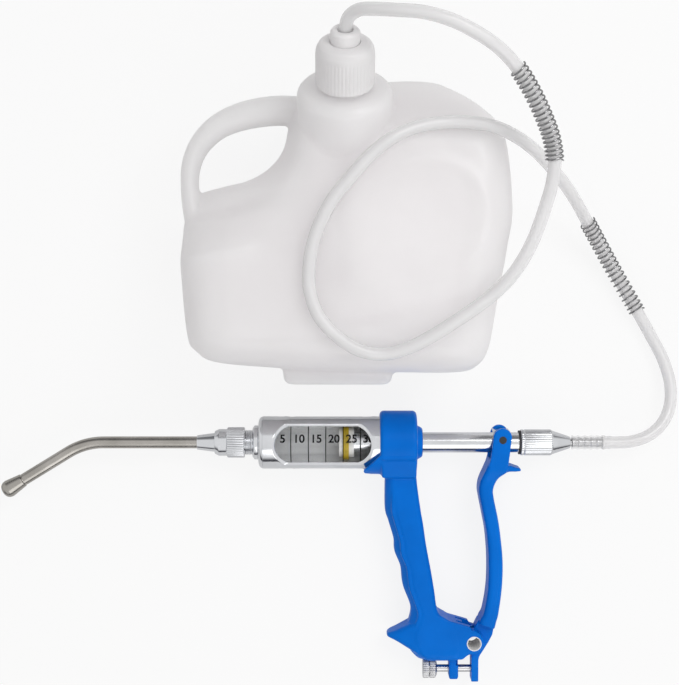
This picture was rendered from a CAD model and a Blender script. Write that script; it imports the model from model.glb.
# %% [markdown]
# # A livestock drencher on a studio floor
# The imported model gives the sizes, the moving bodies and the small hidden pieces. It could be
# rendered as it is, but its solids are plain. This script dresses it: each moulded, wound or
# polished piece is worked out as a surface and put where its solid lies.

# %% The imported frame
import math
import bpy
import numpy as np
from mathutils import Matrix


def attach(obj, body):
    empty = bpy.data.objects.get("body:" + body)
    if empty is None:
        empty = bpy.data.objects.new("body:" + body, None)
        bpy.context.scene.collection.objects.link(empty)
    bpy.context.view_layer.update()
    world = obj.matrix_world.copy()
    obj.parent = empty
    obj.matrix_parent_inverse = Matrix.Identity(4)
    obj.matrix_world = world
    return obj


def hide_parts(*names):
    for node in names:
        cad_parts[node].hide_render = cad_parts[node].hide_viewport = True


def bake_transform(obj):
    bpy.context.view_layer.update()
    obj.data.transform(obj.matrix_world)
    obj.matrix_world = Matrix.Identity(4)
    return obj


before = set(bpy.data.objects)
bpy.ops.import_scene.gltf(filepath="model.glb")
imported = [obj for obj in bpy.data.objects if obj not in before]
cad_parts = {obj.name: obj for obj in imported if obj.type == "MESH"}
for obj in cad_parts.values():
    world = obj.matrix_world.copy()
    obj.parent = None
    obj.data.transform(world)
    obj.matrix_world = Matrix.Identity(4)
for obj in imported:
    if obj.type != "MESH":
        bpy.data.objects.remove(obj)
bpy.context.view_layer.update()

# %% [markdown]
# ## Places
# The gun is drawn along its own barrel: u runs from nozzle to hose, v up the grip and w out of the
# side that faces the camera. It lies on its collar and on the heel of its grip, so it is rolled by
# a few degrees. The neck of the reservoir has its own axis, leaning up off the floor. Each point
# could be given on the floor at once, but drawing in these two systems keeps every number a size
# that could be measured on the real thing, in millimetres.

# %% From the gun and the neck to the floor
MM = 0.001
KIT_SHIFT = np.array([0.61, -2.55, 0.0])
COLLAR_R, GRIP_HALF, HEEL_DROP = 21.3, 12.5, 145.8
GUN_AT = np.array([51.4, -45.3, COLLAR_R]) + KIT_SHIFT
GUN_ROLL = math.asin((COLLAR_R - GRIP_HALF) / HEEL_DROP)
NECK_AT = np.array([28.0, 177.0, 112.0]) + KIT_SHIFT
NECK_TILT = math.radians(40)


def turn_about_x(points, angle, shift):
    """Points turned about the X axis: (x, y cos - z sin, y sin + z cos), then moved by shift."""
    c, s = math.cos(angle), math.sin(angle)
    x, y, z = points[..., 0], points[..., 1], points[..., 2]
    return np.stack([x, y * c - z * s, y * s + z * c], -1) + shift


def from_gun(points):
    """Barrel coordinates (u, v, w) to the floor frame."""
    return turn_about_x(points, GUN_ROLL, GUN_AT)


def from_neck(points):
    """Neck coordinates, z along the neck, to the floor frame."""
    return turn_about_x(points, NECK_TILT - math.pi / 2, NECK_AT)


print("gun rolled by %.2f degrees" % math.degrees(GUN_ROLL))

# %% [markdown]
# ## Camera
# The photograph shows the gun square from its side, so the camera hangs a metre above the floor and
# looks straight down. It could be moved by eye until the outlines meet. Here the lens follows from
# the scale instead, 0.67 mm to a pixel at the height of the barrel, so the fit needs no trials.

# %% Camera
CAMERA_HEIGHT, SENSOR = 1000.0, 36.0
PHOTO_LONG_SIDE, MM_PER_PIXEL = 685, 0.67
VIEW_FROM = np.array([24.6, 21.6, CAMERA_HEIGHT]) + KIT_SHIFT


def placed(name, data):
    """New object in the scene, at the origin."""
    ob = bpy.data.objects.new(name, data)
    bpy.context.scene.collection.objects.link(ob)
    return ob


camera_data = bpy.data.cameras.new("camera")
camera_data.sensor_width = SENSOR
camera_data.lens = (CAMERA_HEIGHT - COLLAR_R) * SENSOR / (PHOTO_LONG_SIDE * MM_PER_PIXEL)
camera = placed("camera", camera_data)
camera.location = VIEW_FROM * MM
bpy.context.scene.camera = camera
print("lens %.1f mm" % camera_data.lens)

# %% [markdown]
# ## How a finish is built
# Real plastic and plate are never one flat colour: the tone drifts a little, and a fine grain left
# by the mould, the die or the turning tool changes the gloss and raises a bump. A painted picture
# could show that, but it would need a flat map of every piece. Noise on the object's own
# coordinates needs none, and its size is in millimetres. A value that is the same all over sits on
# the shader's own socket.

# %% Finish from noise


def noise(nodes, size, detail):
    """Noise with patches of a size in millimetres: its scale is patches per metre."""
    texture = nodes.new("ShaderNodeTexNoise")
    texture.inputs["Scale"].default_value = 1000.0 / size
    texture.inputs["Detail"].default_value = detail
    return texture


def finish(name, low, high, patch, gloss, grain, bump, stretch=(1, 1, 1), **fixed):
    """Shader whose colour drifts from low to high on patches. A grain moves its roughness between
    the two values of gloss and raises a bump; patch, grain and bump are in millimetres."""
    material = bpy.data.materials.new(name)
    material.use_nodes = True
    nodes, links = material.node_tree.nodes, material.node_tree.links
    shader = nodes["Principled BSDF"]
    for socket, value in fixed.items():
        shader.inputs[socket.replace("_", " ")].default_value = value
    place, turn = nodes.new("ShaderNodeTexCoord"), nodes.new("ShaderNodeMapping")
    turn.inputs["Scale"].default_value = stretch
    broad, fine = noise(nodes, patch, 4.0), noise(nodes, grain, 2.0)
    ramp, shine = nodes.new("ShaderNodeValToRGB"), nodes.new("ShaderNodeMapRange")
    first, second = ramp.color_ramp.elements
    first.position, second.position = 0.35, 0.65
    first.color, second.color = (*low, 1), (*high, 1)
    shine.inputs["To Min"].default_value, shine.inputs["To Max"].default_value = gloss
    relief = nodes.new("ShaderNodeBump")
    relief.inputs["Strength"].default_value = 1.0
    relief.inputs["Distance"].default_value = bump * MM
    for start, end in (
            (place.outputs["Object"], turn.inputs["Vector"]),
            (place.outputs["Object"], broad.inputs["Vector"]),
            (turn.outputs["Vector"], fine.inputs["Vector"]),
            (broad.outputs["Fac"], ramp.inputs["Fac"]),
            (ramp.outputs["Color"], shader.inputs["Base Color"]),
            (fine.outputs["Fac"], shine.inputs["Value"]),
            (shine.outputs["Result"], shader.inputs["Roughness"]),
            (fine.outputs["Fac"], relief.inputs["Height"]),
            (relief.outputs["Normal"], shader.inputs["Normal"])):
        links.new(start, end)
    return material


blue_moulding = finish("blue_moulding", (0.0, 0.148, 0.63), (0.0, 0.170, 0.71), 30, (0.26, 0.36),
                       0.6, 0.006, Specular_IOR_Level=0.08)
print("blue moulding has", len(blue_moulding.node_tree.nodes), "nodes")

# %% [markdown]
# ## Metals
# The barrel and its fittings are chrome plate, the nozzle is duller nickel, and the springs and the
# hose guards are drawn wire. One metal could serve for all. They are kept apart because the photo
# shows each with its own depth of grey. Stretched grain gives the faint lines that a lathe or a die
# leaves. The inside of the barrel is a pale coat, which is what is seen through the glass.

# %% Metals
bright_plate = finish("bright_plate", (0.60, 0.61, 0.63), (0.66, 0.67, 0.69), 12, (0.09, 0.17),
                      0.35, 0.0004, stretch=(1.0, 0.08, 0.08), Metallic=1.0)
dull_inside = finish("dull_inside", (0.93, 0.94, 0.95), (0.96, 0.97, 0.98), 9, (0.45, 0.6),
                     0.5, 0.002)
satin_nickel = finish("satin_nickel", (0.33, 0.315, 0.29), (0.41, 0.39, 0.365), 15, (0.20, 0.30),
                      0.5, 0.0010, stretch=(0.1, 1.0, 1.0), Metallic=1.0)
guard_wire = finish("guard_wire", (0.19, 0.19, 0.195), (0.27, 0.27, 0.275), 5, (0.14, 0.22),
                    0.4, 0.001, Metallic=1.0)
spring_wire = finish("spring_wire", (0.46, 0.46, 0.47), (0.56, 0.56, 0.57), 8, (0.22, 0.34),
                     0.4, 0.001, Metallic=1.0)
print("metals:", bright_plate.name, satin_nickel.name, guard_wire.name, spring_wire.name)

# %% [markdown]
# ## Milky and clear
# The reservoir is blown polythene, the cap is moulded of the same, the hose is clear vinyl. Milky
# plastic could be a thin see-through wall, but then the inside of the mesh shows as hard lines. Deep
# scattering under the skin makes the reservoir one milky mass, and a little alpha lets the white
# behind it through. Hose and glass use alpha, so that what is inside them stays sharp.

# %% Milky and clear
ALL_COLOURS_ALIKE = (1.0, 1.0, 1.0)
milky_tank = finish("milky_tank", (0.85, 0.832, 0.838), (0.89, 0.872, 0.878), 70, (0.34, 0.44),
                    2.2, 0.010, Subsurface_Weight=1.0, Subsurface_Scale=0.06,
                    Subsurface_Radius=ALL_COLOURS_ALIKE, Alpha=0.97)
milky_cap = finish("milky_cap", (0.93, 0.915, 0.92), (0.95, 0.935, 0.94), 25, (0.34, 0.44),
                   0.9, 0.005, Subsurface_Weight=0.3, Subsurface_Scale=0.006,
                   Subsurface_Radius=ALL_COLOURS_ALIKE, Alpha=0.90)
soft_hose = finish("soft_hose", (0.95, 0.945, 0.95), (0.97, 0.965, 0.97), 40, (0.14, 0.22),
                   1.5, 0.003, Subsurface_Weight=0.15, Subsurface_Scale=0.002,
                   Subsurface_Radius=ALL_COLOURS_ALIKE, Alpha=0.66)
stretched_hose = finish("stretched_hose", (0.90, 0.90, 0.905), (0.93, 0.93, 0.935), 12,
                        (0.12, 0.2), 1.5, 0.002, Alpha=0.24)
clear_glass = finish("clear_glass", (0.96, 0.98, 0.98), (0.98, 0.99, 0.99), 20, (0.0, 0.02),
                     4.0, 0.0002, Transmission_Weight=1.0, IOR=1.45, Alpha=0.10)
print("clear:", soft_hose.name, stretched_hose.name, clear_glass.name)

# %% [markdown]
# ## Small solids
# Seals, valves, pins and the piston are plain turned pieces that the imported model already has
# right. Each could be dressed again, but it would look the same, so the solids stay and only get a
# finish: black rubber, a yellow cup seal, white nylon and black pins, as the photo shows.

# %% Small solids
black_rubber = finish("black_rubber", (0.012, 0.012, 0.013), (0.02, 0.02, 0.022), 6, (0.5, 0.65),
                      0.4, 0.004)
black_pin = finish("black_pin", (0.008, 0.008, 0.009), (0.015, 0.015, 0.016), 4, (0.35, 0.5),
                   0.3, 0.002)
yellow_seal = finish("yellow_seal", (0.42, 0.29, 0.002), (0.52, 0.36, 0.005), 5, (0.40, 0.50),
                     0.4, 0.004)
white_nylon = finish("white_nylon", (0.82, 0.82, 0.82), (0.88, 0.88, 0.88), 8, (0.35, 0.45),
                     0.5, 0.003)
solid_finish = {
    black_rubber: ("cap_seal", "front_seal", "rear_seal", "rod_wiper", "end_washer"),
    white_nylon: ("outlet_valve", "rod_guide", "piston_front", "piston_back", "pivot_bush"),
    bright_plate: ("valve_retainer", "piston_rod", "rod_yoke"),
    spring_wire: ("inlet_ball", "dose_screw"),
    black_pin: ("drive_pin_upper", "drive_pin_lower"),
    yellow_seal: ("piston_seal",),
    soft_hose: ("suction_tube",),
}
for material, nodes in solid_finish.items():
    for node in nodes:
        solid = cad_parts[node]
        solid.data.materials.clear()
        solid.data.materials.append(material)
print(sum(map(len, solid_finish.values())), "solids keep their shape")

# %% [markdown]
# ## Surfaces on a grid
# Every new piece is a grid of points: one parameter runs along the piece and one around it. It could
# be modelled by hand from a box and edge loops. A grid needs only a formula for its points and one
# rule for its faces, so a shape is changed by changing a number. A stack of rings is closed by a
# flat face at each end, or by joining its last ring to its first.

# %% Grids


def grid_faces(rows, columns, close_rows=False):
    """Four-sided faces of a grid closed round its columns: each takes a point, its neighbour and
    the two in the next row."""
    i = np.arange(rows if close_rows else rows - 1)[:, None]
    j = np.arange(columns)[None, :]
    a, b = i * columns + j, i * columns + (j + 1) % columns
    d = ((i + 1) % rows) * columns
    return np.stack([a, b, d + (j + 1) % columns, d + j], -1).reshape(-1, 4)


def capped(rings):
    """A stack of rings closed at both ends by one face each."""
    rows, columns = rings.shape[:2]
    last = (rows - 1) * columns
    ends = [np.arange(columns)[None, ::-1], np.arange(last, last + columns)[None, :]]
    return rings.reshape(-1, 3), [grid_faces(rows, columns)] + ends


def looped(rings):
    """A stack of rings whose last ring joins the first, such as a hollow turned piece."""
    rows, columns = rings.shape[:2]
    return rings.reshape(-1, 3), [grid_faces(rows, columns, close_rows=True)]


print("3 rings of 4 points have", len(grid_faces(3, 4)), "side faces")

# %% [markdown]
# ## From arrays to pieces
# A closed surface holds a signed volume. Where it comes out negative, the faces look inwards and
# are turned round. Blender could recalculate the normals, but this rule is exact and needs no edit
# mode. A piece is then shaded smooth, gets its finish and rides on the body that it moves with.

# %% Meshes and pieces


def signed_volume(points, faces):
    """Sum over fans of triangles of p0 . (p1 x p2) / 6."""
    total = 0.0
    for f in faces:
        p = points[f]
        a, b, c = p[:, :1], p[:, 1:-1], p[:, 2:]
        total += float((a * np.cross(b, c)).sum()) / 6
    return total


def mesh_of(name, parts):
    """One mesh, in metres, of closed parts in millimetres, each with its faces outwards."""
    points, faces, base = [], [], 0
    for p, fs in parts:
        out = signed_volume(p, fs) > 0
        for f in fs:
            faces.extend(((f if out else f[:, ::-1]) + base).tolist())
        points.append(p)
        base += len(p)
    me = bpy.data.meshes.new(name)
    me.from_pydata((np.concatenate(points) * MM).tolist(), [], faces)
    me.update()
    return me


def piece(name, me, body, material, stands_for=(), sharp=35, joined=True):
    """Mesh as a piece of the object: smooth, with edges sharper than an angle kept. It rides on a
    body, unless it is left free to be blended between two."""
    me.polygons.foreach_set("use_smooth", np.ones(len(me.polygons), bool))
    me.set_sharp_from_angle(angle=math.radians(sharp))
    me.materials.clear()
    me.materials.append(material)
    ob = placed(name, me)
    if joined:
        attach(ob, body)
    if stands_for:
        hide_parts(*stands_for)
    print("%-18s %7d faces" % (name, len(me.polygons)))
    return ob


square = np.array([[0.0, 0, 0], [1, 0, 0], [1, 1, 0], [0, 1, 0]])
cube = capped(np.stack([square, square + [0, 0, 1]]))
print("signed volume of a unit cube: %.2f" % signed_volume(*cube))

# %% [markdown]
# ## Front of the reservoir
# The hose lies on the front of the reservoir: a belly with a soft pad, which slopes up to the
# shoulder and down on the left. It could be sculpted and the hose laid on it by eye. Here one
# formula gives the height at any place. Hose and reservoir both use it, so neither sinks into the
# other.

# %% Front of the reservoir
TANK_DEPTH = 118.0


def eased(t):
    """Smooth step from 0 to 1: t t (3 - 2 t)."""
    t = np.clip(t, 0, 1)
    return t * t * (3 - 2 * t)


def pad_rim(x, y):
    """Distance from the middle of the pad as a share of the way to its rim, on an ellipse."""
    return np.hypot((x - 78) / 66, (y - 98) / 62)


def panel(x, y):
    """Height of the front: the belly, less eased falls to the shoulder, the left shoulder, the left
    side and the pad's rim, and less a bell-shaped crease below the pad."""
    shoulder = 46 * eased((y - 142) / 60)
    left_shoulder = 22 * eased(-x / 60) * eased((y - 70) / 50)
    left_side = 6 * eased((20 - x) / 90)
    rim = 5 * eased((pad_rim(x, y) - 0.75) / 0.5)
    crease = 3 * eased(x / 30) * np.exp(-((y - 31 - (x - 18) * 0.217) / 9) ** 2)
    return TANK_DEPTH - shoulder - left_shoulder - left_side - rim - crease


print("front at the middle of the pad: %.1f mm" % panel(78.0, 98.0))

# %% [markdown]
# ## Curves and tubes
# Hose, wire and nozzle are round and follow a line. Blender's own curves could draw them, but they
# hide the points that they make. Here a cubic runs through a row of given points, and a ring of
# points is carried along it, so that every ring is known by its number.

# %% Curves and tubes
UP = np.array([0.0, 0.0, 1.0])


def through(points, steps, closed=False):
    """Smooth curve through the points, steps to each gap: a cubic in t from b to c, whose slope at
    a point is half the difference of its two neighbours."""
    p = np.asarray(points, float)
    ext = [p[-1:], p, p[:2]] if closed else [p[:1], p, p[-1:]]
    ext = np.concatenate(ext)
    a, b, c, d = ext[:-3, None], ext[1:-2, None], ext[2:-1, None], ext[3:, None]
    t = (np.arange(steps) / steps)[None, :, None]
    q = 0.5 * (2 * b + (c - a) * t + (2 * a - 5 * b + 4 * c - d) * t ** 2
               + (3 * b - a - 3 * c + d) * t ** 3)
    q = q.reshape(-1, p.shape[1])
    return q if closed else np.concatenate([q, p[-1:]])


def unit(a):
    """Vectors made one long."""
    return a / np.linalg.norm(a, axis=-1, keepdims=True)


def tube(path, radius, side, sides=12):
    """Round wire: path + radius (cos a n + sin a b), with n the side direction squared to the path
    and b across both."""
    t = unit(np.gradient(path, axis=0))
    n = unit(side - (side * t).sum(-1, keepdims=True) * t)
    b = np.cross(t, n)
    a = np.linspace(0, 2 * math.pi, sides, endpoint=False)[None, :, None]
    r = np.broadcast_to(np.asarray(radius, float).reshape(-1, 1, 1), (len(path), 1, 1))
    return path[:, None] + r * (np.cos(a) * n[:, None] + np.sin(a) * b[:, None])


ring = through([[1, 0], [0, 1], [-1, 0], [0, -1]], 8, closed=True)
stray = np.abs(np.linalg.norm(ring, axis=1) - 1).max()
print("through 4 points of a circle the curve strays by %.0f %%" % (100 * stray))

# %% [markdown]
# ## Route of the hose
# The hose runs out of the gland on the cap, over the shoulder, once round on the front of the
# reservoir, down to the floor and into the back of the gun. A simulation could let it fall, but the
# photo shows its whole way. So its points are given, the same row that its solid follows, and a
# smooth curve runs through them. On the loop the height is taken from the front.

# %% Route of the hose
HOSE_R, HOSE_STEPS, ROOM_UNDER = 4.0, 8, 0.8
rise = np.array([
    [28, 203.05, 133.86], [28, 206.6, 136.84], [30, 212.4, 143.6], [36, 214.9, 151.6],
    [44.6, 213.9, 158.2], [57, 212, 164], [72, 210, 167.6], [88, 205.6, 168], [104, 198.4, 165],
    [117, 190.4, 160.6], [127.5, 180.6, 155], [136.5, 168.6, 148.6], [144.2, 155.4, 142],
    [150, 142.5, 136], [152.6, 129.5, 131.4], [151.6, 117, 128.2], [148.2, 104, 126],
    [142, 86, 124], [135.2, 72, 122.4], [126.6, 59.8, 120.6]])
loop = np.array([
    [116.4, 49.8, 0], [106, 42, 0], [95, 34.6, 0], [82.5, 26.6, 0], [68, 19, 1], [52, 14.6, 2.4],
    [36.5, 17, 1.4], [23, 25.5, 0], [12.5, 37, 0], [7.4, 49.5, 0], [6, 62, 0], [8, 79, 0],
    [13.5, 95, 0], [21, 108.5, 0], [30, 119.5, 0], [43, 134, -0.4], [56.5, 144.6, -0.6],
    [71, 151.4, -0.9], [89, 154.8, -1], [105, 154.6, -1.4]])
fall = np.array([
    [119, 152.4, 114.4], [133.5, 147.4, 105], [147.5, 140.4, 89], [163, 130, 66],
    [177, 118, 43.5], [190, 102, 25], [208.5, 73.5, 11], [227, 42.5, 7.5], [236, 26.5, 7],
    [243.6, 11.6, 8], [248, -3, 10], [248.4, -15, 13], [245.6, -26, 16], [239.4, -35, 19],
    [230.5, -41.4, 21], [220, -44.7, 21.3], [211, -45.3, 21.3], [204, -45.3, 21.3]])
barb_end = np.array([[197, -45.3, 21.3], [189, -45.3, 21.3], [180.1, -45.3, 21.3]])
# The loop's third number is how much nearer to the front the hose lies there.
loop[:, 2] = panel(loop[:, 0], loop[:, 1]) + HOSE_R + ROOM_UNDER - loop[:, 2]
route = np.concatenate([rise, loop, fall])
hose_path = through(np.concatenate([route, barb_end]), HOSE_STEPS)
END_ROW = HOSE_STEPS * len(route) - HOSE_STEPS // 2

# %% [markdown]
# ## Hose
# A clear hose shows its wall. A curve with a round bevel would be a full rod, so outside and inside
# are two tubes on one line, joined at their ends. Over the barb it is stretched: wider, with a
# ripple on each barb. The rod slides 45 mm when the lever is squeezed. So the last bend is blended:
# its end follows the rod, and the rest stays with the reservoir.

# %% Hose
HOSE_BORE_R, HOSE_SIDES = 2.5, 24
BARB_PITCH, FIRST_BARB_X, STRETCH_FROM_X, STRETCH_OVER, BEHIND_GUN_Y = 4.2, 180.4, 208, 6, -40
WIDER_OUT, WIDER_IN, RIPPLE = 0.5, 1.05, 0.3
hose_x, hose_y = hose_path[:, 0], hose_path[:, 1]
level = unit(np.cross(UP, np.gradient(hose_path, axis=0)))
on_barb = eased((STRETCH_FROM_X - hose_x) / STRETCH_OVER) * (hose_y < BEHIND_GUN_Y)
ripple = RIPPLE * np.cos((hose_x - FIRST_BARB_X) * 2 * math.pi / BARB_PITCH)
outside = tube(hose_path, HOSE_R + (WIDER_OUT + ripple) * on_barb, level, HOSE_SIDES) + KIT_SHIFT
inside = tube(hose_path, HOSE_BORE_R + WIDER_IN * on_barb, level, HOSE_SIDES) + KIT_SHIFT


def hollow(name, rows):
    """Hose between two rows of its rings: outside forwards, inside backwards, joined at the ends."""
    return mesh_of(name, [looped(np.concatenate([outside[rows], inside[rows][::-1]]))])


hose = piece("hose", hollow("hose", slice(0, END_ROW + 1)), "housing", soft_hose,
             ("feed_hose",), joined=False)
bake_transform(hose)
hose_end = piece("hose_end", hollow("hose_end", slice(END_ROW, None)), "rod",
                 stretched_hose, ("hose_cuff",))

# %% [markdown]
# ## Wire guards
# Two springs slipped over the hose keep it from kinking. A screw modifier makes a straight spring
# that would then be bent. Here each is one wire wound round the hose's own centre line: the line
# plus a radius that turns once per coil. The wire's side direction is that radius, so its little
# ring of points never twists.

# %% Wire guards
GUARD_WIRE, GUARD_TURNS = 1.1, 20
GUARD_R = HOSE_R + 0.6 + GUARD_WIRE / 2
UPPER_AT, LOWER_AT = 10, len(rise) + len(loop) + 5


def wound(centre, side, radius, turns, wire, per_turn=28, sides=8):
    """Wire on a line: centre + radius (cos a n + sin a b), a growing by a full turn per coil."""
    m = int(turns * per_turn)
    f = np.linspace(0, len(centre) - 1, m + 1)
    k = np.arange(len(centre))
    c = np.stack([np.interp(f, k, centre[:, i]) for i in range(3)], -1)
    s = np.stack([np.interp(f, k, side[:, i]) for i in range(3)], -1)
    t = unit(np.gradient(c, axis=0))
    n = unit(s - (s * t).sum(-1, keepdims=True) * t)
    a = (np.arange(m + 1) * 2 * math.pi / per_turn)[:, None]
    out = np.cos(a) * n + np.sin(a) * np.cross(t, n)
    return capped(tube(c + radius * out, wire / 2, out, sides))


# Each guard lies between two of the route's points.
for name, node, first, last in (("guard_upper", "upper_guard", UPPER_AT, UPPER_AT + 4),
                                ("guard_lower", "lower_guard", LOWER_AT, LOWER_AT + 2)):
    line = hose_path[first * HOSE_STEPS:last * HOSE_STEPS + 1] + KIT_SHIFT
    across = unit(np.cross(UP, np.gradient(line, axis=0)))
    coil = wound(line, across, GUARD_R, GUARD_TURNS, GUARD_WIRE)
    piece(name, mesh_of(name, [coil]), "housing", guard_wire, (node,))

# %% [markdown]
# ## Body of the reservoir
# The real one is blown from a tube of soft plastic in a two-part mould, so it has a flat back, a
# bulging front and no sharp edge. A box with subdivision would lose its outline. Here a stack of
# rings follows one outline: it rounds the back edge, climbs the side, rounds the front edge and
# then shrinks towards a point inside, at the height of the front.

# %% Outline and skin
TANK_MID = np.array([40.0, 95.0])
tank_edge = through([
    [60, 3], [98, 3], [111, 7.5], [117.5, 18], [122.5, 44], [128.8, 81], [132, 106], [127.5, 152],
    [116, 171], [100, 184], [84, 190.5], [58, 191], [28, 187], [2, 181], [-6, 171], [-8, 155],
    [-11, 142], [-20, 131], [-34, 124], [-50, 121], [-66, 116], [-73.5, 105], [-74.5, 88],
    [-75, 67], [-71, 26], [-65, 15.5], [-52, 9], [-12, 5.5], [20, 4]], 8, closed=True)
spoke = tank_edge - TANK_MID
reach = np.linalg.norm(spoke, axis=1)


def tank_ring(inset, share=1.0):
    """Outline drawn in by an inset towards the middle, then shrunk to a share."""
    return TANK_MID + spoke * ((1 - inset / reach) * share)[:, None]


def ring_at(flat, height):
    """Flat ring with its height."""
    return np.column_stack([flat, np.broadcast_to(height, len(flat))])


def skin(x, y):
    """Height of the moulding: the panel, with bell-shaped ridges round the pad's corner and along
    the left shoulder, and a valley that bends round under the handle."""
    corner = np.exp(-((pad_rim(x, y) - 0.57) / 0.055) ** 2) * eased((x + y * 0.6 - 128) / 30)
    ledge = np.exp(-((y - 86.5 - x * 0.21) / 5.5) ** 2) * eased((-22 - x) / 14)
    bend = np.maximum((4 - x) * (y - 92) / 600, 0.01)
    valley = np.exp(-(np.log(bend) / 0.4) ** 2) * (x < 4) * (y > 92)
    return panel(x, y) + 1.3 * corner + 2.2 * ledge - 3.0 * valley


print("reservoir %.0f mm wide" % np.ptp(tank_edge[:, 0]))

# %% [markdown]
# ### Rings of the body
# A quarter circle, carried in and up at once, rounds an edge. A bevel of one width would make all
# edges alike, but the back edge is tighter than the front one. From the side wall on, each ring
# takes its height from the skin, so the front needs no second surface.

# %% Rings of the body
BACK_ROUND, BACK_INSET, SIDE_RISE, FRONT_INSET, FRONT_ROUND = 16, 3, 36, 22, 26
quarter = np.radians(np.linspace(0, 90, 10))
rings = [ring_at(tank_ring(BACK_ROUND * (1 - math.sin(f)) + BACK_INSET),
                 BACK_ROUND * (1 - math.cos(f))) for f in quarter]
rings += [ring_at(tank_ring(BACK_INSET * (1 - eased((z - BACK_ROUND) / SIDE_RISE))), z)
          for z in np.linspace(20, BACK_ROUND + SIDE_RISE, 8)]
for f in quarter:
    flat = tank_ring(FRONT_INSET * (1 - math.cos(f)))
    rings.append(ring_at(flat, skin(*flat.T) - FRONT_ROUND + FRONT_ROUND * math.sin(f)))
for share in np.linspace(0.97, 0.03, 60):
    flat = tank_ring(FRONT_INSET, share)
    rings.append(ring_at(flat, skin(*flat.T)))
tank_body = capped(np.stack(rings) + KIT_SHIFT)
print("body of", len(rings), "rings")

# %% [markdown]
# ## Turned and flat shapes
# A lathe makes round pieces, and a flat cut makes plates. Blender has a screw and a solidify
# modifier for them. Two short functions do the same on arrays, and a third breaks the corners of
# any profile first, because no real edge is quite sharp and a broken one catches the light.

# %% Turned and flat shapes


def turned(profile, sides=96, ribs=0, rib_rows=None, depth=0.4, solid=False):
    """Piece of revolution of (radius, place) about the barrel: (u, r cos a, r sin a). Ribs cut the
    marked rows by depth times a rounded wave. A solid one is closed flat at its ends."""
    p = np.asarray(profile, float)
    a = np.linspace(0, 2 * math.pi, sides, endpoint=False)[None, :]
    r = np.repeat(p[:, :1], sides, 1)
    if ribs:
        wave = np.abs(np.sin(a * ribs / 2)) ** 0.8
        r = r - depth * (1 - wave) * np.asarray(rib_rows, float)[:, None]
    rings = np.stack([np.repeat(p[:, 1:2], sides, 1), r * np.cos(a), r * np.sin(a)], -1)
    return capped(rings) if solid else looped(rings)


def on_neck(shape):
    """Shape turned about the barrel, stood up on the neck's axis instead."""
    points, faces = shape
    return from_neck(points[:, [1, 2, 0]]), faces


def bevelled(corners, size, steps=4):
    """Closed outline whose corners become short curves: (1-t)^2 A + 2t(1-t) P + t^2 B, with A and B
    on the two sides of the corner P."""
    p = np.asarray(corners, float)
    before, after = np.roll(p, 1, 0) - p, np.roll(p, -1, 0) - p
    lb, la = np.linalg.norm(before, axis=1), np.linalg.norm(after, axis=1)
    reach = np.minimum(size, 0.45 * np.minimum(lb, la))[:, None]
    a, b = p + before / lb[:, None] * reach, p + after / la[:, None] * reach
    t = np.linspace(0, 1, steps)[None, :, None]
    out = (1 - t) ** 2 * a[:, None] + 2 * t * (1 - t) * p[:, None] + t ** 2 * b[:, None]
    return out.reshape(-1, 2)


def slab(outline, low, high, place):
    """Flat outline carried straight from height low to height high, then placed."""
    o = np.asarray(outline, float)
    rings = np.stack([np.column_stack([o, np.full(len(o), h)]) for h in (low, high)])
    points, faces = capped(rings)
    return place(points), faces


print("a bevelled square has", len(bevelled(square[:, :2], 0.1)), "points")

# %% [markdown]
# ## Tower, handle and foot
# A round tower carries the neck, a bow is the carrying handle, and a flat foot lets the bottle
# stand. They could be pulled out of the body's own mesh. It is simpler to make each as a closed
# shape, a turned profile, an oval carried along a curve and a flat outline carried straight up.
# They overlap the body, because the next step melts them into it.

# %% Tower, handle and foot
HANDLE_HEIGHT, HANDLE_HALF = 74.0, 11
tower = on_neck(turned([[29.5, -75], [29.5, -5], [29, -3.2], [26, 0], [15, 0.1], [15, 22]],
                       solid=True))
bow = through([
    [0, 168, 19], [-14, 168.5, 19], [-28, 167, 18.5], [-40, 164, 17.5], [-51, 159, 16],
    [-60, 151.5, 14.5], [-66.5, 142, 13], [-69.8, 131, 12], [-70.2, 120, 11.5], [-69, 108, 12],
    [-66, 96, 14]], 6)
bow_line = np.column_stack([bow[:, :2], np.full(len(bow), HANDLE_HEIGHT)])
bow_side = unit(np.cross(np.gradient(bow_line, axis=0), UP))[:, None]
bow_half = (bow[:, 2] / 2)[:, None, None]
around = np.linspace(0, 2 * math.pi, 40, endpoint=False)[None, :, None]
handle = capped(bow_line[:, None] + bow_half * np.cos(around) * bow_side
                + HANDLE_HALF * np.sin(around) * UP + KIT_SHIFT)
foot = slab(bevelled([[-11, -5], [58, -5], [58, 21], [-11, 21]], 6), 5, 79, lambda p: p + KIT_SHIFT)
print("handle of", len(bow), "ovals")

# %% [markdown]
# ## One moulding
# A moulded piece has one skin with soft inner corners. Joining shapes with booleans leaves hard
# seams. A voxel remesh melts the overlapping shapes into one skin, and a little smoothing gives the
# mould's soft corners. Holes are cut last so that they stay crisp.

# %% Reservoir melted together


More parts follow.
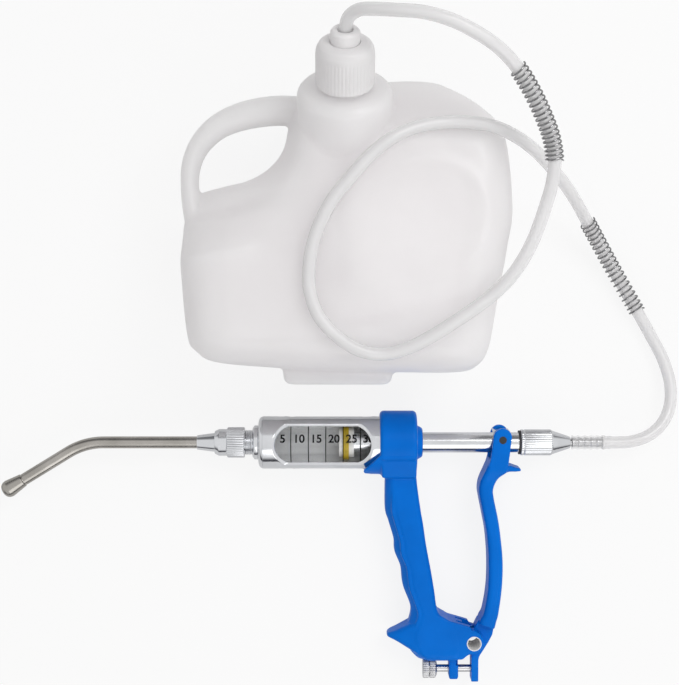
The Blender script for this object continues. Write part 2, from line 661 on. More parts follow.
def moulded(name, parts, voxel, rounds, cuts=()):
    """Parts melted into one skin on a voxel grid, smoothed, then cut."""
    ob = placed(name + "_work", mesh_of(name + "_work", parts))
    melt = ob.modifiers.new("melt", "REMESH")
    melt.mode, melt.voxel_size = "VOXEL", voxel * MM
    soft = ob.modifiers.new("soft", "SMOOTH")
    soft.factor, soft.iterations = 0.5, rounds
    tools = [ob]
    for k, cut in enumerate(cuts):
        tool = placed("%s_cut_%d" % (name, k), mesh_of("%s_cut_%d" % (name, k), [cut]))
        knife = ob.modifiers.new("cut_%d" % k, "BOOLEAN")
        knife.operation, knife.solver, knife.object = "DIFFERENCE", "EXACT", tool
        tools.append(tool)
    seen = ob.evaluated_get(bpy.context.evaluated_depsgraph_get())
    me = bpy.data.meshes.new_from_object(seen)
    me.name = name
    for tool in tools:
        bpy.data.objects.remove(tool)
    return me


tank_mesh = moulded("tank", [tank_body, tower, handle, foot], voxel=1.35, rounds=6)
piece("tank", tank_mesh, "housing", milky_tank, ("reservoir_body",), sharp=60)

# %% [markdown]
# ## Cap and gland
# The screw cap is turned about the neck and has fine grip ribs round its skirt. Each rib could be a
# box in a ring. A dip in the radius that repeats round the piece gives them all at once and keeps
# the cap one closed skin. The gland grips the hose and stands on the cap.

# %% Cap and gland
NECK_H = 22.0
cap_line = bevelled(np.array([
    [15.3, 3 - NECK_H], [18, 3 - NECK_H], [18, 0.5], [17.5, 4.2], [15.9, 7.4], [13.4, 8.8], [10, 9],
    [9.2, 9], [9.2, 6], [15.3, 6]]) + [0, NECK_H], 0.9)
skirt = (cap_line[:, 0] > 17.6) & (cap_line[:, 1] < NECK_H + 0.9)
cap_shape = on_neck(turned(cap_line, sides=240, ribs=48, rib_rows=skirt, depth=0.25))
piece("cap", mesh_of("cap", [cap_shape]), "cap", milky_cap, ("reservoir_cap",))
gland_line = bevelled([
    [2, 2], [3.9, 2], [3.9, NECK_H + 1.5], [14.9, NECK_H + 1.5], [14.9, NECK_H + 5.9],
    [9, NECK_H + 5.9], [9, 37.3], [7.5, 39], [5, 39], [4.2, 36.5], [4.2, 27], [2, 27]], 0.6)
piece("gland", mesh_of("gland", [on_neck(turned(gland_line))]), "cap", milky_cap,
      ("hose_gland",))

# %% [markdown]
# ## Sections of a moulding
# Grip, spur, lever and horn are bars that swell, bend and taper. Each could be a box pulled about by
# hand. A loft keeps their sizes: a row of sections, each a flat bar with its own roundings in front
# and behind, on a smooth curve through the row.

# %% Sections of a moulding


def loft(rows, steps=8, arc=8, crease=1.0):
    """Sections from rows of front point, rear point, half thickness and the front and rear corner
    radius. A corner is cos and sin to the power crease, round at 1 and flat at 2."""
    r = through(rows, steps)
    front, back, h, rf, rr = r[:, 0:2], r[:, 2:4], r[:, 4], r[:, 5], r[:, 6]
    length = np.linalg.norm(back - front, axis=1)
    way = (back - front) / length[:, None]
    radius = np.stack([rr, rf, rf, rr], 1)
    along = np.stack([length - rr, rf, rf, length - rr], 1)
    over = np.stack([h - rr, h - rf, rf - h, rr - h], 1)
    turn = np.radians(np.array([0, 90, 180, 270])[:, None] + np.linspace(0, 90, arc)[None, :])
    c, s = np.cos(turn), np.sin(turn)
    a = along[:, :, None] + radius[:, :, None] * np.sign(c) * np.abs(c) ** crease
    w = over[:, :, None] + radius[:, :, None] * np.sign(s) * np.abs(s) ** crease
    a, w = a.reshape(len(r), -1), w.reshape(len(r), -1)
    uv = front[:, None] + way[:, None] * a[:, :, None]
    points, faces = capped(np.concatenate([uv, w[:, :, None]], -1))
    return from_gun(points), faces


def on_gun(shape, up=0.0, out=0.0):
    """Closed shape in barrel coordinates, moved up and out, then put on the floor."""
    points, faces = shape
    return from_gun(points + np.array([0, up, out])), faces


peg = loft([[0, 0, 8, 0, 3, 1, 1], [0, -20, 6, -20, 2, 1, 1]])
print("a tapered peg of 2 sections holds %.0f cubic mm" % abs(signed_volume(*peg)))

# %% [markdown]
# ## Grip and spur
# The gun's handle is one moulding: a collar round the barrel, the finger grip, a spur below the
# little finger and two cheeks that hold the lever. The grip is the loft with a large rounding in
# front, where the fingers lie. A crease along the edge of the finger side could be a sharp edge in
# the mesh, but the melt would lose it, so a thin bead runs there instead.

# %% Grip and spur
EDGE_R, EDGE_OUT = 1.2, 11.2
grip = loft([
    [3.6, -10, 24, -10, 12.5, 5, 3], [3.6, -25, 24.6, -25, 12.5, 5, 3],
    [3.6, -44, 27.2, -44, 12.5, 8, 3], [5.8, -52, 28.8, -53, 12.5, 8, 3],
    [9.4, -64.5, 30.6, -65.5, 12.5, 8, 3], [10, -72.6, 32.1, -74, 12.5, 8, 3],
    [14, -83, 34.2, -85, 12.5, 8, 3], [15.6, -95.5, 36.4, -98, 12.5, 8, 3],
    [20.3, -108, 38.4, -111, 12.5, 8, 3], [21, -114.6, 42, -116.2, 12.5, 8, 3],
    [19, -122.5, 48, -119.5, 12.5, 8, 3], [17, -130, 53, -126, 12.5, 8, 3],
    [20, -138.5, 55, -137, 12.5, 8, 3], [23.5, -143, 54, -142.5, 12.5, 8, 3],
    [26, -145.8, 53, -145.8, 10, 8, 3]], crease=1.5)
spur = loft([
    [24, -119, 26, -142, 12.1, 4, 4], [12, -125.2, 12.8, -134, 10.1, 3.7, 3.7],
    [7.6, -127.1, 8, -131.6, 7.8, 1.9, 1.9], [5.6, -128.1, 5.8, -130.9, 5.6, 1.3, 1.3],
    [4.9, -128.8, 5, -130.2, 3.4, 0.65, 0.65]])
edge_line = through([
    [9.2, -27], [8.8, -44], [10.8, -52.2], [14.4, -64.7], [15.1, -72.9], [19, -83.4],
    [20.7, -96.1], [25.3, -108.9], [26.6, -115], [24.4, -122]], 6)
edges = [on_gun(capped(tube(np.column_stack([edge_line, np.full(len(edge_line), w)]), EDGE_R, UP)))
         for w in (-EDGE_OUT, EDGE_OUT)]
print("grip of", len(grip[0]), "points, spur of", len(spur[0]))

# %% [markdown]
# ## Collar and nose
# The collar grips the sleeve, and a wedge reaches forward under it to the window. The wedge could be
# cut from a ring with booleans. Its side view is simply a line of places along the barrel for each
# height, so the edge is looked up for a row of angles. A saddle and two thin beads fill the corner
# where the round collar meets the flat grip.

# %% Collar and nose
NOSE_BORE, NOSE_BACK = 17.2, 4.0
collar = on_gun(turned(bevelled([
    [17, 0], [19.7, 0], [21.3, 1.6], [21.3, 23], [19.6, 24.7], [11.2, 24.7], [11.2, 25.6],
    [10.5, 27.2], [9.3, 28.7], [8.6, 28.7], [8.6, 17.5], [17, 17.5]], 0.8)))
nose_v, nose_u = [-24, -21, -20.2, -18, -6.7, -5], [4, 0.9, -10.4, -11.5, -0.5, 4]
about = np.radians(np.linspace(-73, 73, 74))


def nose_ring(radius):
    """Front edge of the wedge on a cylinder: height -r cos a, place along from its side view."""
    v = -radius * np.cos(about)
    return np.stack([np.interp(v, nose_v, nose_u), v, radius * np.sin(about)], -1)


nose_out, nose_in = nose_ring(COLLAR_R), nose_ring(NOSE_BORE)
back_out, back_in = nose_out.copy(), nose_in.copy()
back_out[:, 0] = back_in[:, 0] = NOSE_BACK
nose = on_gun(capped(np.stack([nose_out, back_out, back_in, nose_in], 1)))
saddle_rim = np.array([[-4.9, 20.6], [-22, 14.4], [-22, -14.4], [-4.9, -20.6]])
saddle = on_gun(capped(np.stack([np.column_stack([np.full(4, u), saddle_rim]) for u in (1.2, 24.2)])))
bead = turned([[1.1, 1.6], [1.1, 23.6]], 24, solid=True)
beads = [on_gun(bead, -8.2, w) for w in (-19.5, 19.5)]
print("nose reaches to u = %.1f mm" % nose_out[:, 0].min())

# %% [markdown]
# ## Cheeks and lug
# Below the grip an arm ends in the cheek that holds the hinge pin, and a lug carries the dose screw.
# They are flat plates on the real moulding too, so each is an outline carried straight across the
# gun. A cube scaled to size would not have their slanted sides.

# %% Cheeks and lug
PIVOT = np.array([63.1, -133.7])
CHEEK_W, LUG_W = 12.3, 6.5


def circle(centre, radius, sides=64):
    """Round outline about a centre."""
    a = np.linspace(0, 2 * math.pi, sides, endpoint=False)
    return np.asarray(centre) + radius * np.column_stack([np.cos(a), np.sin(a)])


arm = slab([[40, -114.5], [46.7, -118.5], [60.4, -122.4], [61.2, -124.9], [61.2, -141.2],
            [59.3, -141.4], [55.3, -144.6], [40, -145]], -CHEEK_W, CHEEK_W, from_gun)
cheek = slab(circle([61.2, -133], 8.2), -CHEEK_W, CHEEK_W, from_gun)
lug = slab(bevelled([[46.8, -159.6], [53, -159.6], [53, -141.6], [46.8, -141.6]], 1.2),
           -LUG_W, LUG_W, from_gun)
print("hinge pin %.1f mm below the barrel" % -PIVOT[1])

# %% [markdown]
# ## Gun handle
# All of the handle melts into one skin, as the reservoir did. Then the bores for the barrel and the
# rod, the slots for the forked lever and the holes for the hinge pin and the screw are cut. They
# could be left out of the shapes from the start, but the melt would round their rims, and the
# moving pieces need their full room.

# %% Gun handle
SCREW_V = -153.5


def rod_along(u0, u1, radius, v=0.0, sides=96):
    """Plain round bar along the barrel."""
    return on_gun(turned([[radius, u0], [radius, u1]], sides, solid=True), v)


def box_cut(low, high):
    """Box given by two corners."""
    (u0, v0, w0), (u1, v1, w1) = low, high
    return slab([[u0, v0], [u1, v0], [u1, v1], [u0, v1]], w0, w1, from_gun)


handle_cuts = [
    rod_along(-20, 18, 17.52), rod_along(10, 40, 9.0),
    box_cut([51.5, -150, -6.8], [81.5, -110, -2.6]), box_cut([51.5, -150, 2.6], [81.5, -110, 6.8]),
    box_cut([55.6, -150, -3], [85.6, -110, 3]),
    slab(circle(PIVOT, 4.92), -20, 20, from_gun), rod_along(40, 60, 2.55, SCREW_V, 48)]
handle_parts = [grip, spur, collar, nose, saddle, arm, cheek, lug] + beads + edges
gun_mesh = moulded("gun_handle", handle_parts, voxel=0.7, rounds=4, cuts=handle_cuts)
piece("gun_handle", gun_mesh, "housing", blue_moulding, ("gun_body",), sharp=42)

# %% [markdown]
# ## Lever
# The lever is a bowed bar with two ears that straddle the rod and carry the drive pins, a thumb horn
# behind them, and a forked hub on the hinge pin whose tail meets the dose screw. It is moulded like
# the handle, so it is made the same way: lofts and flat shapes, melted and then drilled.

# %% Lever
DRIVE_PIN = np.array([81.3, 3.0])
EAR_IN, EAR_OUT = 8.9, 12.9
bar = loft([
    [73.4, -10.2, 85.3, -13.6, 12.9, 3.5, 3.5], [70.2, -17.5, 84.6, -18.5, 12.9, 3.5, 3.5],
    [66.8, -25, 78.8, -23.2, 11.5, 3.5, 3.5], [65.9, -31, 75.6, -30, 11.5, 3.5, 3.5],
    [66.5, -36, 76, -36.5, 11.5, 3.5, 3.5], [68.9, -48, 78.8, -50, 11.5, 3.5, 3.5],
    [71.2, -60.5, 80.6, -62, 11.5, 3.5, 3.5], [72.6, -78, 82.2, -79, 11.5, 3.5, 3.5],
    [72.3, -97, 81.8, -96.5, 11.5, 3.5, 3.5], [69.8, -113, 79.6, -114, 11.5, 3.5, 3.5],
    [67.6, -117.8, 78.2, -119.6, 11.5, 3.5, 3.5], [66.6, -120.8, 77, -124.6, 11.5, 3.5, 3.5]])
horn = loft([
    [79, -22, 78, -13.5, 12.4, 2, 2], [85, -18.9, 86, -14.4, 10.4, 1.8, 1.8],
    [90.5, -18.7, 91, -15.9, 8.9, 1.12, 1.12], [93.9, -18.5, 94.2, -16.9, 7.4, 0.64, 0.64]])
ear_line = [[75.25, 4.65], [73.3, -10.2], [72, -14.5], [84.6, -15], [85.2, -13.5], [87.35, 4.65]]
ears = [slab(shape, side * EAR_IN, side * EAR_OUT, from_gun) for side in (-1, 1)
        for shape in (ear_line, circle([81.3, 4.65], 6.05))]
hub = slab([[66.4, -119], [77, -122], [75.9, -128.8], [73.4, -133.8], [67.2, -143.8], [66.6, -146],
            [66.6, -161.2], [61.8, -161.2], [61.8, -136], [63, -126]], -LUG_W, LUG_W, from_gun)
eye = slab(circle(PIVOT, 8.4), -LUG_W, LUG_W, from_gun)
lever_cuts = [
    slab(circle(PIVOT, 9.3), -3, 3, from_gun), box_cut([54, -136, -3], [63, -119.5, 3]),
    box_cut([PIVOT[0] + 5.7, PIVOT[1], 1.2], [PIVOT[0] + 7.5, PIVOT[1] + 9.2, 3]),
    slab(circle(PIVOT, 4.95), -20, 20, from_gun),
    slab(circle(DRIVE_PIN, 2.52), 8, 16, from_gun), slab(circle(DRIVE_PIN, 2.52), -16, -8, from_gun)]
lever_parts = [bar, horn, hub, eye] + ears
lever_mesh = moulded("squeeze_lever", lever_parts, voxel=0.55, rounds=4, cuts=lever_cuts)
piece("squeeze_lever", lever_mesh, "lever", blue_moulding, ("lever",), sharp=42)

# %% [markdown]
# ## Window of the sleeve
# The sleeve is a plated tube with one long window. A boolean would cut it, but would leave long thin
# faces that shade badly on a mirror. Here the tube is a sheet rolled round the barrel: a grid that
# starts at the window's edge and spreads to the sheet's border, so the edge is one clean line.

# %% Window of the sleeve
SLEEVE_R, SLEEVE_WALL = 17.5, 3.0
SLEEVE_BORE = SLEEVE_R - SLEEVE_WALL
WINDOW_MID, WINDOW_SAG = -37.75, 8.5
NEVER_ZERO = 1e-9
sweep_angle = np.linspace(0, 2 * math.pi, 360, endpoint=False)


def window_edge(angle, half, length):
    """Edge of the window in a direction from its middle: two flat sides, and at each end an arc
    of the given sag."""
    c, s = np.cos(angle), np.sin(angle)
    end_r = (half ** 2 + WINDOW_SAG ** 2) / (2 * WINDOW_SAG)
    centre = length / 2 - end_r
    flat = half / np.maximum(np.abs(s), NEVER_ZERO)
    bow = centre * np.abs(c) + np.sqrt(np.maximum(end_r ** 2 - (centre * s) ** 2, 0))
    d = np.where(flat * np.abs(c) <= length / 2 - WINDOW_SAG, flat, bow)
    return np.stack([d * c, d * s], -1)


def sheet_border(angle, left, right):
    """Border of the sheet in the same direction: its nearer side, or half way round the barrel."""
    c, s = np.cos(angle), np.sin(angle)
    half_turn = math.pi * SLEEVE_R
    d = np.minimum(np.where(c > 0, right, left) / np.maximum(np.abs(c), NEVER_ZERO),
                   half_turn / np.maximum(np.abs(s), NEVER_ZERO))
    return np.stack([d * c, d * s / SLEEVE_R], -1)


inner_edge = window_edge(sweep_angle, 11.9, 63.8)
outer_edge = window_edge(sweep_angle, 13.65, 67.3)
border = sheet_border(sweep_angle, 39.95, 55.75)
print("window %.1f by %.1f mm" % (np.ptp(inner_edge[:, 0]), np.ptp(inner_edge[:, 1])))

# %% [markdown]
# ## Barrel sleeve
# Near the window the radius dips. That is the bright bevel that frames the glass. The rows run from
# the bore over the bevel to the outside, round the barrel to the far side, and back along the bore.
# The bore has a duller coat, so its faces get a second finish by their row.

# %% Barrel sleeve


def wrapped(edge, radius):
    """Window edge (along, up) as (along, angle): angle = arcsin(up / radius), so that the window's
    walls stay upright."""
    return np.stack([edge[:, 0], np.arcsin(np.clip(edge[:, 1] / radius, -1, 1))], -1)


def rolled(sheet, radius):
    """Sheet of (along, angle) on a radius: (along, r sin a, r cos a)."""
    along, a = sheet.T
    return np.stack([along + WINDOW_MID, radius * np.sin(a), radius * np.cos(a)], -1)


bevel_rows = [(0.0, SLEEVE_BORE), (0.0, SLEEVE_R - 1.5), (0.15, SLEEVE_R - 1.2),
              (0.9, SLEEVE_R - 0.2), (1.0, SLEEVE_R - 0.03)]
spread = [0.02, 0.06, 0.14, 0.28, 0.46, 0.66, 0.84, 1.0]
rim, lip = wrapped(outer_edge, SLEEVE_R), wrapped(inner_edge, SLEEVE_BORE)
rows = [rolled(wrapped(inner_edge * (1 - k) + outer_edge * k, r), r) for k, r in bevel_rows]
rows += [rolled(rim * (1 - k) + border * k, SLEEVE_R) for k in spread]
rows += [rolled(border * k + lip * (1 - k), SLEEVE_BORE) for k in spread[::-1]]
sleeve_end = turned(bevelled([
    [8.5, -80.8], [14.3, -80.8], [15.9, -80.3], [17, -79.2], [17.5, -77.7], [14.5, -77.6],
    [8.5, -77.6]], 0.4))
sleeve_mesh = mesh_of("sleeve", [on_gun(looped(np.stack(rows))), on_gun(sleeve_end)])
piece("sleeve", sleeve_mesh, "housing", bright_plate, ("barrel_sleeve",), sharp=30)
sleeve_mesh.materials.append(dull_inside)
face_row = np.arange(len(sleeve_mesh.polygons)) // len(sweep_angle)
in_bore = (face_row >= len(bevel_rows) + len(spread)) & (face_row < len(rows))
sleeve_mesh.polygons.foreach_set("material_index", in_bore.astype(np.int32))

# %% [markdown]
# ## Fittings in front of the barrel
# Outlet, locknut, knurled nut and ferrule are turned on a lathe. A cylinder with a bevel modifier
# would lose their steps. So each is a profile of radius and place, carried round the barrel with
# its corners broken. A thread is a zigzag in the profile, and a knurl is a wave round the piece.

# %% Fittings in front of the barrel


def lathe(name, profile, body, material, node, size=0.35, sides=128, ribs=0, rib_from=0.0,
          depth=0.4, v=0.0):
    """Turned piece along the barrel with broken corners, ribbed where its radius passes rib_from."""
    line = bevelled(profile, size)
    shape = on_gun(turned(line, sides, ribs, line[:, 0] > rib_from, depth), v)
    return piece(name, mesh_of(name, [shape]), body, material, (node,), sharp=32)


thread = [[8.35 - 0.45 * (k % 2), -85.2 - 0.5 * k] for k in range(10)]
lathe("outlet", [[3, -74], [14.35, -74], [14.35, -77.5], [8.35, -77.5]] + thread
      + [[8.35, -90.4], [8.35, -99.5], [5.2, -99.5], [5.2, -81], [3, -79]],
      "housing", bright_plate, "outlet_fitting", size=0.12)
lathe("locknut", [[8.37, -84.9], [9.6, -84.9], [11.4, -83.6], [11.4, -81.2], [11, -80.8],
                  [8.37, -80.8]],
      "housing", bright_plate, "fitting_locknut", size=0.3)
lathe("nozzle_nut_knurled", [[6.4, -110.2], [7.6, -110.2], [8.95, -107.4], [8.95, -102.2],
                             [10.2, -101.5], [10.2, -90.6], [9.6, -90.2], [8.37, -90.2],
                             [8.37, -101.9], [6.4, -101.9]],
      "housing", bright_plate, "nozzle_nut",
      size=0.3, sides=288, ribs=36, rib_from=9.9, depth=0.45)
lathe("ferrule", [[4.02, -122.1], [4.8, -122.1], [6.35, -110.3], [6.35, -101.85], [8.1, -101.85],
                  [8.1, -99.55], [4.02, -99.55]],
      "nozzle", bright_plate, "nozzle_ferrule", size=0.25)

# %% [markdown]
# ## Rod end, dose knob and glass
# The rod ends in a knurled nut and a barbed tail, which grips the hose. The dose knob is knurled the
# same way, and the glass is a plain tube. All are turned pieces, so the same lathe makes them.

# %% Rod end, dose knob and glass
lathe("end_nut", [[3.02, 107], [5.62, 107], [5.62, 94.4], [8.7, 94.4], [8.7, 96], [8.35, 96.5],
                  [8.7, 97], [8.7, 114.4], [8, 115.4], [3.9, 127.5], [3.02, 127.5]],
      "rod", bright_plate, "rod_end_nut",
      size=0.3, sides=256, ribs=32, rib_from=8.5, depth=0.3)
barbs = [[radius, at + BARB_PITCH * k] for k in range(5)
         for radius, at in ((2.5, 128.5), (3.5, 128.9), (2.5, 132.5))]
lathe("barb", [[2, 104.05], [5.5, 104.05], [5.5, 106.9], [3, 106.9]] + barbs
      + [[2.6, 149.7], [2, 149.7]],
      "rod", spring_wire, "hose_barb", size=0.1)
lathe("knob", [[2.52, 36], [2.52, 38.9], [4.3, 38.9], [5.9, 37.9], [6.5, 37.7], [6.5, 34],
               [5.3, 33.9], [5.3, 33.4], [6.5, 33.3], [6.5, 29.7], [6.1, 29.4], [0.4, 29.4],
               [0.4, 36]],
      "knob", spring_wire, "dose_knob",
      size=0.2, sides=224, ribs=28, rib_from=6.3, depth=0.45, v=SCREW_V)
lathe("glass", [[11.75, -72.5], [14.35, -72.5], [14.35, 10], [11.75, 10]],
      "housing", clear_glass, "glass_cylinder", size=0.2)

# %% [markdown]
# ## Nozzle tube
# The nozzle is a nickel tube, bent once, that reaches into the animal's mouth. A curve object could
# be bevelled, but its wall would have no inside. So two tubes run on one line: straight, round an
# arc and straight again.

# %% Nozzle tube
BEND, BEND_R, BEND_AT = math.radians(31.5), 45.0, -197.6
PIPE_R, PIPE_BORE_R, PIPE_FROM, PIPE_AFTER = 4.0, 2.5, -99.6, 47.7
lead = BEND_R * math.tan(BEND / 2)
bend_from = lead + BEND_AT
turn_steps = np.linspace(0, BEND, 30)
bend_line = np.column_stack([bend_from - BEND_R * np.sin(turn_steps),
                             BEND_R * (np.cos(turn_steps) - 1), 0 * turn_steps])
aim = np.array([-math.cos(BEND), -math.sin(BEND), 0.0])
tip_at = bend_line[-1] + aim * (PIPE_AFTER - lead)
straight = np.linspace([PIPE_FROM, 0, 0], [bend_from, 0, 0], 12)[:-1]
nozzle_line = np.concatenate([straight, bend_line, np.linspace(bend_line[-1], tip_at, 10)[1:]])
walls = [tube(nozzle_line, PIPE_R, UP, 48), tube(nozzle_line, PIPE_BORE_R, UP, 48)[::-1]]
pipe = on_gun(looped(np.concatenate(walls)))
piece("nozzle_pipe", mesh_of("nozzle_pipe", [pipe]), "nozzle", satin_nickel,
      ("nozzle_tube",))

# %% [markdown]
# ## Nozzle bulb
# A smooth bulb closes the tube, so that its rim can't hurt. A stretched sphere would lack its neck
# and its flat mouth. It is turned like the other metal, about the direction in which the tube ends.

# %% Nozzle bulb
bulb_points, bulb_faces = turned(bevelled([
    [1.4, -7], [2.48, -7], [2.48, 0], [3.6, 0], [3.6, 0.9], [4.45, 0.9], [4.7, 3], [5.9, 11.6],
    [5.6, 13.6], [4.6, 15.3], [3, 16.2], [1, 16.4], [1, 12.5], [1.4, 12]], 0.5))
across_tip = np.array([aim[1], -aim[0], 0.0])
bulb_points = (tip_at + bulb_points[:, :1] * aim + bulb_points[:, 1:2] * across_tip
               + bulb_points[:, 2:] * UP)
piece("nozzle_bulb", mesh_of("nozzle_bulb", [on_gun((bulb_points, bulb_faces))]), "nozzle",
      satin_nickel, ("nozzle_tip",))

# %% [markdown]
# ## Return spring
# The return spring sits round the hollow hinge pin, between the cheeks, and pushes the lever open.
# It is a wire on a line: a leg, three and a half turns and a second leg. It joins two moving pieces.
# Riding on one, it would cut into the other, so it is blended: one leg stays with the housing, the
# other follows the lever, and the coils between them twist.

# %% Return spring
TWIST_R, TWIST_HALF, TWIST_TURNS, TWIST_WIRE_R = 6.6, 2.1, 3.5, 0.35
twist = np.radians(180 - 360 * np.linspace(0, TWIST_TURNS, 225))
coil = np.column_stack([TWIST_R * np.cos(twist), TWIST_R * np.sin(twist),
                        np.linspace(-TWIST_HALF, TWIST_HALF, 225)])
leg_in = np.linspace([-TWIST_R, -5, -TWIST_HALF], [-TWIST_R, -0.4, -TWIST_HALF], 6)
leg_out = np.linspace([TWIST_R, 0.4, TWIST_HALF], [TWIST_R, 8.4, TWIST_HALF], 8)
spring_line = np.concatenate([leg_in, coil, leg_out]) + np.array([*PIVOT, 0])
lever_coil = on_gun(capped(tube(spring_line, TWIST_WIRE_R, UP, 10)))
lever_spring = piece("lever_spring", mesh_of("lever_spring", [lever_coil]), "housing",
                     spring_wire, ("return_spring",), joined=False)
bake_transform(lever_spring)

# %% [markdown]
# ## Outlet spring
# A small spring holds the outlet valve on its seat. It could be left out, because the outlet hides
# it, but a cut through the barrel would then show a valve that nothing holds. It is wound as the
# guards are and blended as the return spring is: its front end stays with the housing, and its rear
# end follows the valve.

# %% Outlet spring
PRESS_R, PRESS_TURNS, PRESS_WIRE = 3.2, 7, 0.7
press_line = np.linspace([-82.95, 0, 0], [-97.05, 0, 0], 60)
press_side = np.broadcast_to(UP, press_line.shape)
valve_coil = on_gun(wound(press_line, press_side, PRESS_R, PRESS_TURNS, PRESS_WIRE))
valve_spring = piece("valve_spring", mesh_of("valve_spring", [valve_coil]), "housing",
                     spring_wire, ("outlet_spring",), joined=False)
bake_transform(valve_spring)

# %% [markdown]
# ## Dose marks
# The glass carries a line for every 5 mL and its number before it, printed in black. A picture on
# the glass could show them, but thin ink as a mesh stays sharp at any distance. Text is made a mesh
# first. Then each point's height above the barrel's middle becomes an angle, which rolls the ink
# onto the glass.

# %% Ink on the glass
INK_R, INK_THICK, INK_BOLD, CAPITAL_SHARE = 14.37, 0.02, 0.16, 0.72
black_ink = finish("black_ink", (0.004, 0.004, 0.005), (0.008, 0.008, 0.009), 3, (0.7, 0.8),
                   0.3, 0.001, Specular_IOR_Level=0.1)


def on_glass(points):
    """Flat ink (along, up, thickness) rolled onto the glass: angle = up / radius."""
    a = points[:, 1] / INK_R
    r = INK_R + points[:, 2]
    return from_gun(np.column_stack([points[:, 0], r * np.sin(a), r * np.cos(a)]))


def number(text, u, up, height):
    """Number as ink on the glass, centred at u and of a height in millimetres."""
    curve = bpy.data.curves.new("ink", "FONT")
    curve.body, curve.align_x, curve.align_y = text, "CENTER", "CENTER"
    curve.size, curve.extrude, curve.offset = height / CAPITAL_SHARE, INK_THICK, INK_BOLD
    work = placed("ink_work", curve)
    seen = work.evaluated_get(bpy.context.evaluated_depsgraph_get())
    me = bpy.data.meshes.new_from_object(seen)
    bpy.data.objects.remove(work)
    co = np.empty(len(me.vertices) * 3)
    me.vertices.foreach_get("co", co)
    points = on_glass(co.reshape(-1, 3) + np.array([u, up, INK_THICK]))
    return points, [list(p.vertices) for p in me.polygons]


def mark(u, half=0.32, thick=0.04, reach=16, rows=41):
    """Line round the glass at u: a small oblong, carried up from -reach to reach and rolled on."""
    oblong = np.array([[-half, 0.0], [half, 0.0], [half, thick], [-half, thick]])
    along, deep = np.tile(oblong, (rows, 1)).T
    up = np.repeat(np.linspace(-reach, reach, rows), 4)
    p, f = capped(on_glass(np.column_stack([u + along, up, deep])).reshape(rows, 4, 3))
    out = signed_volume(p, f) > 0
    return p, [face for g in f for face in (g if out else g[:, ::-1]).tolist()]


print("ink on a radius of %.2f mm" % INK_R)

# %% [markdown]
# ### Numbers and lines
# The numbers are generic: millilitres in steps of five. They stand before their lines, as on the
# photo. All of the ink is one piece, because it is one print.

# %% Dose marks
NUMBER_U = {"5": -64.4, "10": -53.6, "15": -42.2, "20": -30.4, "25": -18.8, "30": -7.6}
MARK_U = [-59.0, -47.4, -35.9, -24.4, -12.9]
prints = [number(text, u, 4.0, 5.5) for text, u in NUMBER_U.items()] + [mark(u) for u in MARK_U]
base = np.cumsum([0] + [len(p) for p, _ in prints])
ink_faces = [[k + b for k in face] for b, (_, f) in zip(base.tolist(), prints) for face in f]
ink_mesh = bpy.data.meshes.new("dose_marks")
ink_mesh.from_pydata((np.concatenate([p for p, _ in prints]) * MM).tolist(), [], ink_faces)
piece("dose_marks", ink_mesh, "housing", black_ink, sharp=30)

# %% [markdown]
# ## Small sums in shaders
# Floor and world have to know what kind of ray looks at them. That takes a few sums in the shader.
# Each node could be made and linked by hand, in four lines. One function makes a node from its
# numbers and links, so that a sum reads like a sum, and another mixes two shaders by its result.

# %% Small sums in shaders


def sum_node(tree, operation, *values):
    """Math node whose inputs are numbers or the outputs of other nodes."""
    node = tree.nodes.new("ShaderNodeMath")
    node.operation = operation
    for socket, value in zip(node.inputs, values):
        if isinstance(value, bpy.types.NodeSocket):
            tree.links.new(value, socket)
        else:
            socket.default_value = value
    return node.outputs[0]


def mix_into(tree, share, first, second, end):
    """Two shaders mixed by a share, linked to the surface of an output node."""
    mix = tree.nodes.new("ShaderNodeMixShader")
    for k, output in enumerate((share, first, second)):
        tree.links.new(output, mix.inputs[k])
    tree.links.new(mix.outputs[0], tree.nodes[end].inputs["Surface"])


floor_material = bpy.data.materials.new("studio_floor")
floor_material.use_nodes = True
print("floor starts with", len(floor_material.node_tree.nodes), "nodes")

# %% [markdown]
# ## Floor
# The photo is on plain white. A white floor alone would need so much light that the object burns
# out. So the floor has its own pale shade for light and shadow, and to the camera it is mostly plain
# white: a share of glow is mixed in for camera and glass rays, and a smaller one for mirrors.

# %% Floor
GLOW_TO_CAMERA, GLOW_IN_METAL, FLOOR_HALF = 0.85, 0.35, 6
tree = floor_material.node_tree
shade = tree.nodes["Principled BSDF"]
shade.inputs["Base Color"].default_value = (0.82, 0.82, 0.82, 1)
shade.inputs["Roughness"].default_value = 0.9
glow = tree.nodes.new("ShaderNodeEmission")
rays = tree.nodes.new("ShaderNodeLightPath").outputs
seen = sum_node(tree, "MAXIMUM", rays["Is Camera Ray"], rays["Is Transmission Ray"])
white = sum_node(tree, "MULTIPLY_ADD", rays["Is Glossy Ray"], GLOW_IN_METAL,
                 sum_node(tree, "MULTIPLY", seen, GLOW_TO_CAMERA))
mix_into(tree, white, shade.outputs[0], glow.outputs[0], "Material Output")
floor_mesh = bpy.data.meshes.new("floor")
corners = np.array([[-1, -1, 0], [1, -1, 0], [1, 1, 0], [-1, 1, 0]]) * FLOOR_HALF
floor_mesh.from_pydata(corners.tolist(), [], [(0, 1, 2, 3)])
floor_mesh.materials.append(floor_material)
floor = placed("floor", floor_mesh)
print("floor %d m wide" % (2 * FLOOR_HALF))

# %% [markdown]
# ## Lamps
# One soft lamp stands high on the right and a wider, weaker one on the near side. A single lamp
# would be harsher, and a bright sky alone would show no form. The two are kept low, so that a colour
# renders about as it is written.

# %% Lamps


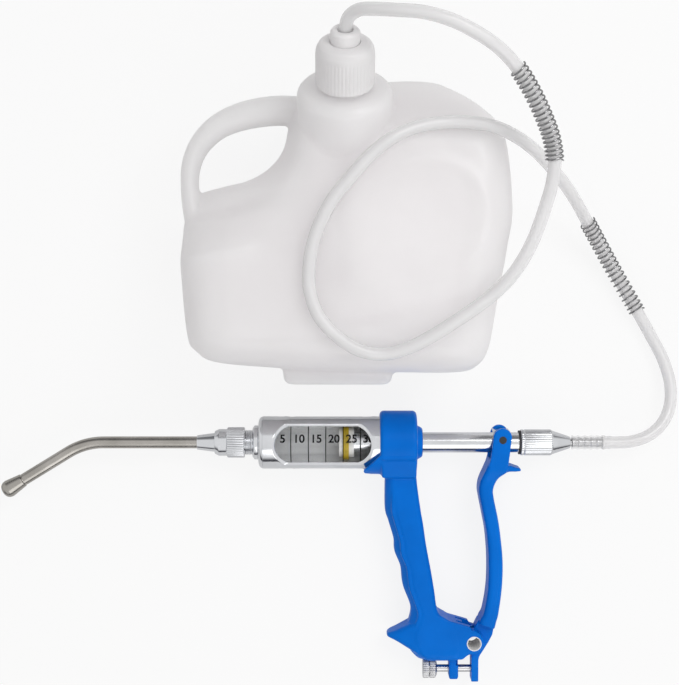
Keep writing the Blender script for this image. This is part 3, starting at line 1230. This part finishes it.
def lamp(name, place, target, size, power):
    """Square soft lamp that looks at a point: tilt = 90 degrees plus the rise of its line, heading =
    the line's compass angle less 90 degrees."""
    data = bpy.data.lights.new(name, "AREA")
    data.size, data.energy = size, power
    ob = placed(name, data)
    ob.location = place
    x, y, z = np.asarray(target) - np.asarray(place)
    tilt, heading = math.atan2(z, math.hypot(x, y)), math.atan2(y, x)
    ob.rotation_euler = (math.pi / 2 + tilt, 0, heading - math.pi / 2)
    print("%s lamp, %.1f W" % (name, power))


lamp("key", (0.75, 0.66, 1.45), (0.05, 0.05, 0.0), 0.8, 8.5)
lamp("fill", (0.45, -1.1, 1.1), (0.0, 0.0, 0.0), 1.2, 5.0)

# %% [markdown]
# ## World
# The world is a soft grey light from all sides, and plain white where the camera, glass or metal
# looks at it. Polished metal in an all-white room has no form. So in metal alone the world shows a
# dark band low on the near side and one far behind, as the edges of a studio do.

# %% World
SKY_LIGHT, FAR_BAND = 0.57, 0.80
world = bpy.data.worlds.new("studio")
bpy.context.scene.world = world
world.use_nodes = True
tree = world.node_tree
sky = tree.nodes["Background"]
sky.inputs["Color"].default_value = (1.0, 0.99, 0.99, 1)
sky.inputs["Strength"].default_value = SKY_LIGHT
shown = tree.nodes.new("ShaderNodeBackground")
shown.inputs["Strength"].default_value = 1.0
way = tree.nodes.new("ShaderNodeSeparateXYZ")
tree.links.new(tree.nodes.new("ShaderNodeTexCoord").outputs["Generated"], way.inputs[0])


def band(axis, start, full, top=1.0):
    """Smooth rise from 0 to top as the look along an axis goes from start to full."""
    step = tree.nodes.new("ShaderNodeMapRange")
    step.interpolation_type = "SMOOTHSTEP"
    for socket, value in (("From Min", start), ("From Max", full), ("To Max", top)):
        step.inputs[socket].default_value = value
    tree.links.new(way.outputs[axis], step.inputs["Value"])
    return step.outputs[0]


rays = tree.nodes.new("ShaderNodeLightPath").outputs
low_near = sum_node(tree, "MULTIPLY", band("Z", 0.5, 0.12), band("Y", -0.1, -0.8))
dark = sum_node(tree, "MAXIMUM", low_near, band("Y", 0.5, 0.8, FAR_BAND))
tone = tree.nodes.new("ShaderNodeMix")
tone.data_type = "RGBA"
tone.inputs["A"].default_value, tone.inputs["B"].default_value = (1, 1, 1, 1), (0.06, 0.06, 0.07, 1)
tree.links.new(sum_node(tree, "MULTIPLY", dark, rays["Is Glossy Ray"]), tone.inputs["Factor"])
tree.links.new(tone.outputs["Result"], shown.inputs["Color"])
seen = sum_node(tree, "MAXIMUM", rays["Is Camera Ray"], rays["Is Glossy Ray"])
seen = sum_node(tree, "MAXIMUM", seen, rays["Is Transmission Ray"])
mix_into(tree, seen, sky.outputs[0], shown.outputs[0], "World Output")
bpy.context.scene.view_settings.view_transform = "Standard"
print("world of", len(tree.nodes), "nodes")
